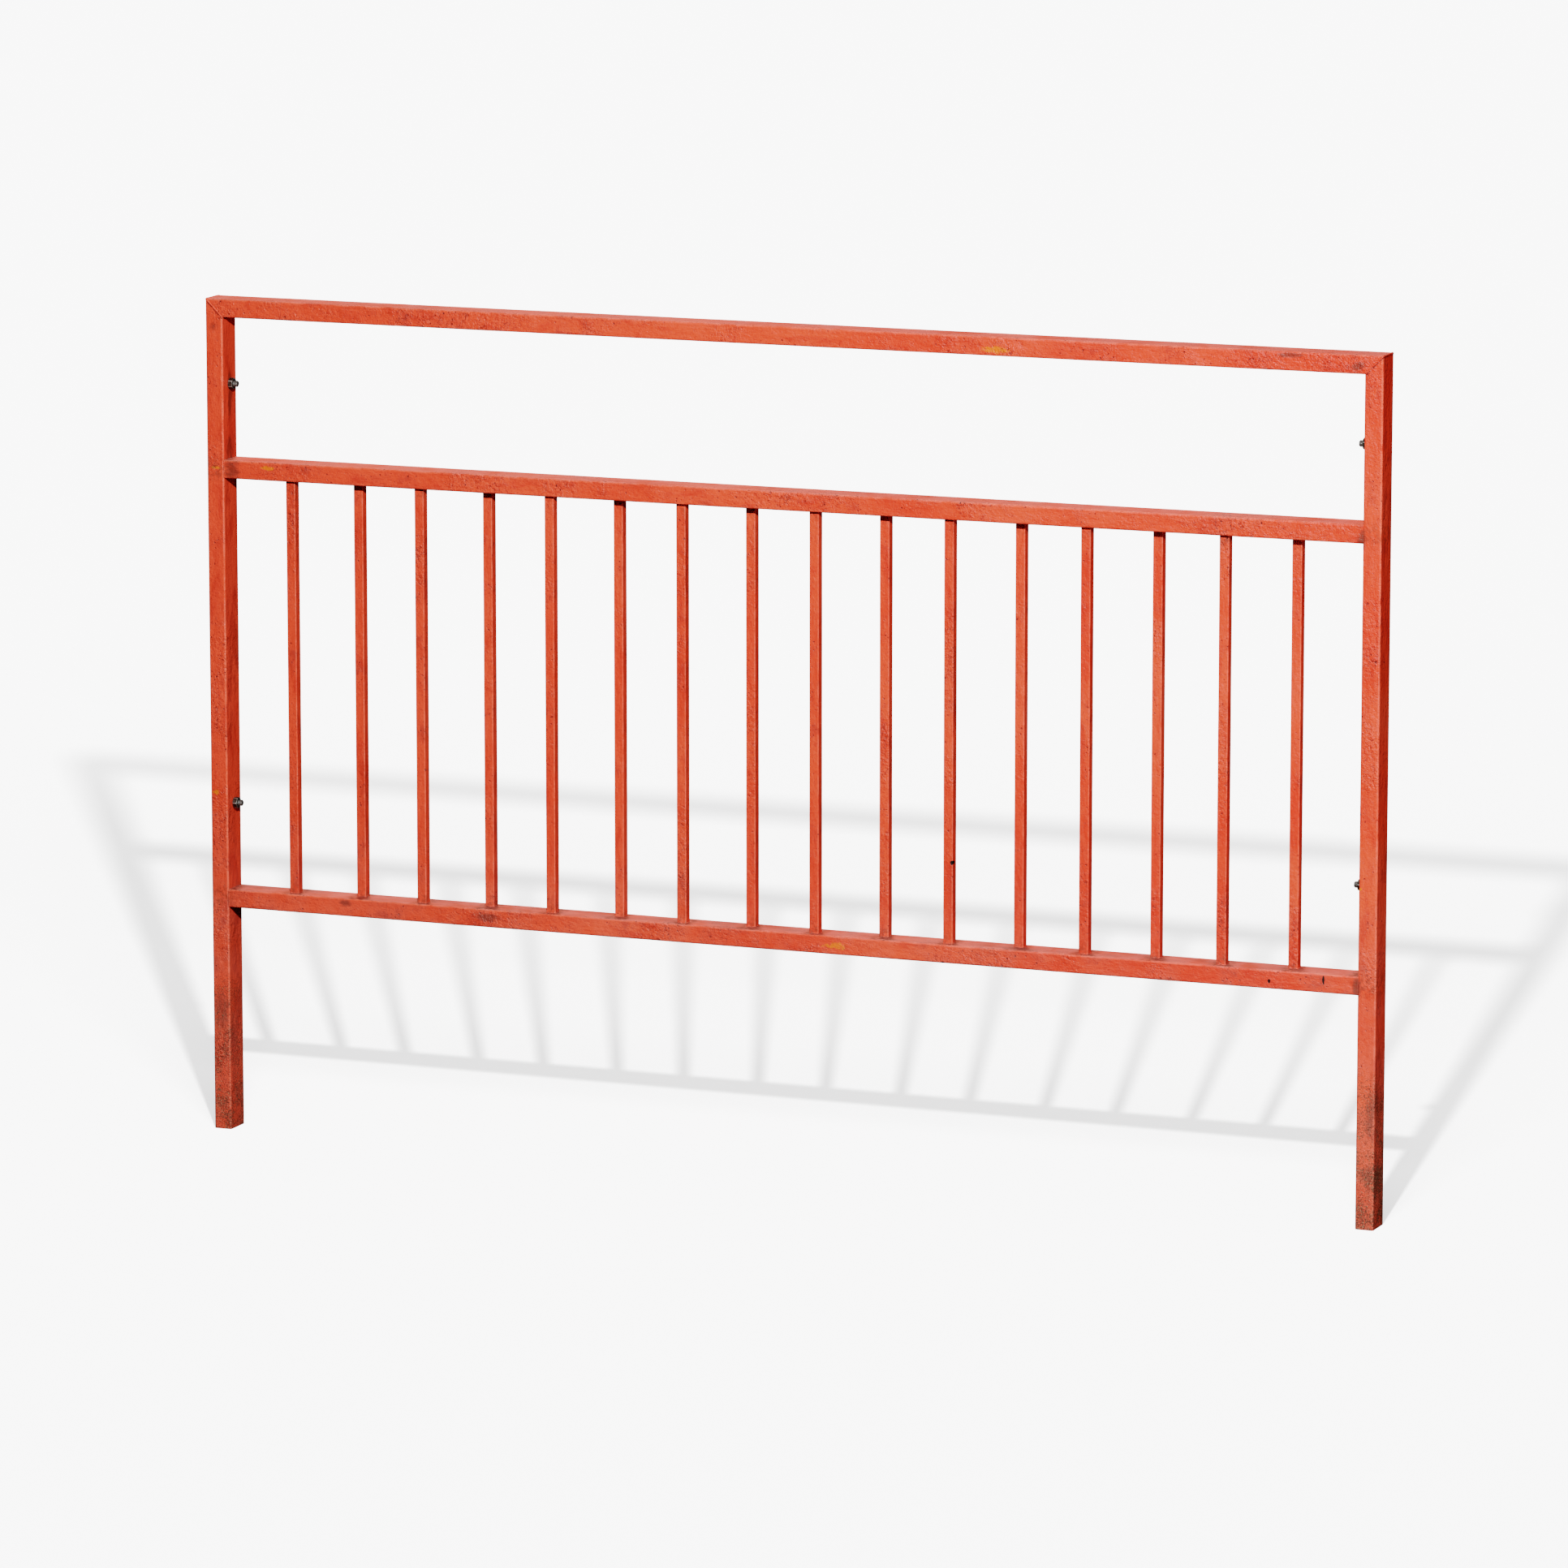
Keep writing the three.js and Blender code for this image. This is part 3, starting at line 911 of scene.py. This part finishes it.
for side_name in SIDES:
    make_post(side_name, post_red)
    make_mitre_weld(side_name, rail_red)
for rail in ("top_rail", "mid_rail", "lower_rail"):
    make_rail(rail, rail_red)
for rail in ("mid_rail", "lower_rail"):
    make_rail_welds(rail, rail_red)
for number in range(1, BAR_COUNT + 1):
    make_bar(number, bar_red)
make_bar_welds(bar_red)
for place_name in NUT_TURN:
    make_stud(place_name, stud_grey)
    make_nut(place_name, nut_brown)
    make_insert(place_name, insert_zinc)


# ---- floor, lights and camera ---------------------------------------------------------------

def floor_finish():
    """Pale floor that is evenly white wherever the key light reaches it."""
    ground = Finish("pale_floor")
    away = ground.node("ShaderNodeVectorMath", {"operation": "SUBTRACT"}, {0: ground.place, 1: KEY_PLACE})
    square = ground.dot(away, away)
    aim = (KEY_TARGET - KEY_PLACE).normalized()
    ahead = ground.dot(away, aim)
    white_lit = ahead.at_least(0.0) * (FLOOR_KEY_POWER * KEY_PLACE.z / math.pi ** 2) / (square * square)
    paleness = (FLOOR_SHADE / white_lit.at_least(0.001)).no_more_than(FLOOR_PALEST)
    glow = ground.node("ShaderNodeEmission", {}, {"Strength": FLOOR_WHITE - paleness * white_lit})
    matt = ground.node("ShaderNodeBsdfDiffuse", {}, {"Color": paleness})
    ground.node_to_surface(ground.node("ShaderNodeAddShader", {}, {0: glow, 1: matt}))
    return ground.material


def make_floor():
    half = FLOOR_HALF
    corners = [(-half, -half, 0), (half, -half, 0), (half, half, 0), (-half, half, 0)]
    mesh = bpy.data.meshes.new("floor")
    mesh.from_pydata(corners, [], [(0, 1, 2, 3)])
    mesh.materials.append(floor_finish())
    floor = bpy.data.objects.new("floor", mesh)
    bpy.context.scene.collection.objects.link(floor)
    floor.visible_diffuse = False
    floor.visible_glossy = False
    return floor


def make_light(name, place, target, size, power, tall=None):
    """A round lamp, or an upright strip when it is given a height."""
    lamp = bpy.data.lights.new(name, "AREA")
    lamp.energy = power
    lamp.shape = "RECTANGLE" if tall else "DISK"
    lamp.size = size
    if tall:
        lamp.size_y = tall
    light = bpy.data.objects.new(name, lamp)
    light.location = place
    light.rotation_euler = (Vector(target) - Vector(place)).to_track_quat("-Z", "Y").to_euler()
    bpy.context.scene.collection.objects.link(light)
    return light


def light_only(light, thing, wanted):
    """Makes a light shine on this thing alone, or on everything but it."""
    group = bpy.data.collections.new(f"{light.name}_receivers")
    group.objects.link(thing)
    group.collection_objects[0].light_linking.link_state = "INCLUDE" if wanted else "EXCLUDE"
    light.light_linking.receiver_collection = group


def set_sky():
    """White backdrop for the camera, with little light of its own."""
    world = bpy.data.worlds.new("studio")
    world.use_nodes = True
    nodes = world.node_tree.nodes
    links = world.node_tree.links
    nodes.clear()
    ray = nodes.new("ShaderNodeLightPath")
    seen = nodes.new("ShaderNodeBackground")
    seen.inputs["Strength"].default_value = FLOOR_WHITE
    soft = nodes.new("ShaderNodeBackground")
    soft.inputs["Strength"].default_value = SKY_LIGHT
    pick = nodes.new("ShaderNodeMixShader")
    output = nodes.new("ShaderNodeOutputWorld")
    links.new(ray.outputs["Is Camera Ray"], pick.inputs[0])
    links.new(soft.outputs[0], pick.inputs[1])
    links.new(seen.outputs[0], pick.inputs[2])
    links.new(pick.outputs[0], output.inputs["Surface"])
    bpy.context.scene.world = world


def set_film():
    """A film-like answer to light: dark places go deep and bright ones pale."""
    view = bpy.context.scene.view_settings
    view.view_transform = "Standard"
    view.use_curve_mapping = True
    mapping = view.curve_mapping
    mapping.white_level = (FILM_WHITE,) * 3
    points = mapping.curves[3].points
    points[0].location = (0.0, 0.0)
    points[-1].location = (1.0, FILM_CURVE[-1][1])
    for light, bright in FILM_CURVE[:-1]:
        points.new(light / FILM_WHITE, bright)
    mapping.update()


floor = make_floor()
set_sky()
key = make_light("key", KEY_PLACE, KEY_TARGET, KEY_SIZE, KEY_POWER)
light_only(key, floor, wanted=False)
for part, size, share in (("core", KEY_SIZE, 1 - HALO_SHARE), ("halo", HALO_SIZE, HALO_SHARE)):
    floor_key = make_light(f"floor_key_{part}", KEY_PLACE, KEY_TARGET, size, FLOOR_KEY_POWER * share)
    light_only(floor_key, floor, wanted=True)
right_fill = make_light("right_fill", RIGHT_FILL_PLACE, RIGHT_FILL_TARGET, 0.6, 11.0, tall=1.6)
light_only(right_fill, floor, wanted=False)
back_fill = make_light("back_fill", BACK_FILL_PLACE, BACK_FILL_TARGET, 2.5, 800.0)
back_fill.visible_glossy = False
light_only(back_fill, floor, wanted=False)

camera_data = bpy.data.cameras.new("camera")
camera_data.lens = CAMERA_LENS
camera_data.sensor_width = 36.0
camera_data.clip_end = 500.0
camera = bpy.data.objects.new("camera", camera_data)
camera.location = CAMERA_PLACE
camera.rotation_euler = (math.radians(90 - CAMERA_DIP_DEG), 0.0, math.radians(CAMERA_TURN_DEG))
bpy.context.scene.collection.objects.link(camera)
bpy.context.scene.camera = camera
set_film()
